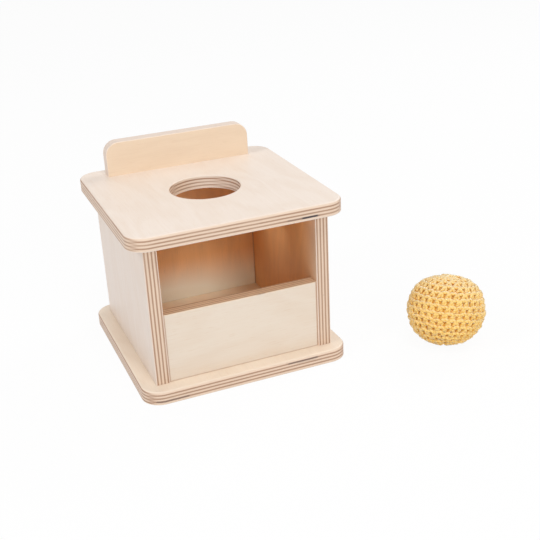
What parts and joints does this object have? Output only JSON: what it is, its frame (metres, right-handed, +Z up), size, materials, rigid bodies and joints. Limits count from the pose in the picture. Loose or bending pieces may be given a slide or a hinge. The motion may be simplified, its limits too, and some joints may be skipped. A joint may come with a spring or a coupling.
{
  "type": "object permanence box",
  "caption": "Birch plywood box with a round ball hole in its overhanging top, an open front above a low panel, a rear backstop, and a soft crocheted ball.",
  "frame": {"origin": "centre of the base board's underside, on the surface that the box stands on", "axes": "+Z up, -Y out of the open front, +X to the right as seen from the front"},
  "size_m": [0.3115, 0.234, 0.18],
  "materials": {
    "birch_plate": "clear satin lacquer on birch plywood",
    "birch_wall": "clear satin lacquer on birch plywood",
    "birch_panel": "clear satin lacquer on birch plywood",
    "birch_backstop": "clear satin lacquer on birch plywood",
    "beech_dowel": "raw turned beech",
    "yellow_crochet": "matt cotton yarn in single crochet",
    "white_filling": "loose polyester fibre"
  },
  "bodies": {
    "box": {"base_board": "birch_plate", "left_side": "birch_wall", "right_side": "birch_wall", "back_panel": "birch_wall", "front_panel": "birch_panel", "top_board": "birch_plate", "backstop": "birch_backstop", "left_side_lower_front_dowel": "beech_dowel", "left_side_upper_front_dowel": "beech_dowel", "left_side_lower_back_dowel": "beech_dowel", "left_side_upper_back_dowel": "beech_dowel", "right_side_lower_front_dowel": "beech_dowel", "right_side_upper_front_dowel": "beech_dowel", "right_side_lower_back_dowel": "beech_dowel", "right_side_upper_back_dowel": "beech_dowel", "back_panel_left_dowel": "beech_dowel", "back_panel_right_dowel": "beech_dowel", "front_panel_left_dowel": "beech_dowel", "front_panel_right_dowel": "beech_dowel", "front_panel_end_left_dowel": "beech_dowel", "front_panel_end_right_dowel": "beech_dowel", "backstop_left_dowel": "beech_dowel", "backstop_right_dowel": "beech_dowel"},
    "ball": {"ball_cover": "yellow_crochet", "ball_filling": "white_filling"}
  },
  "joints": [
    {"name": "ball_lift", "type": "slide", "parent": "box", "child": "ball", "axis": [0, 0, 1], "range_m": [0, 0.2]}
  ]
}
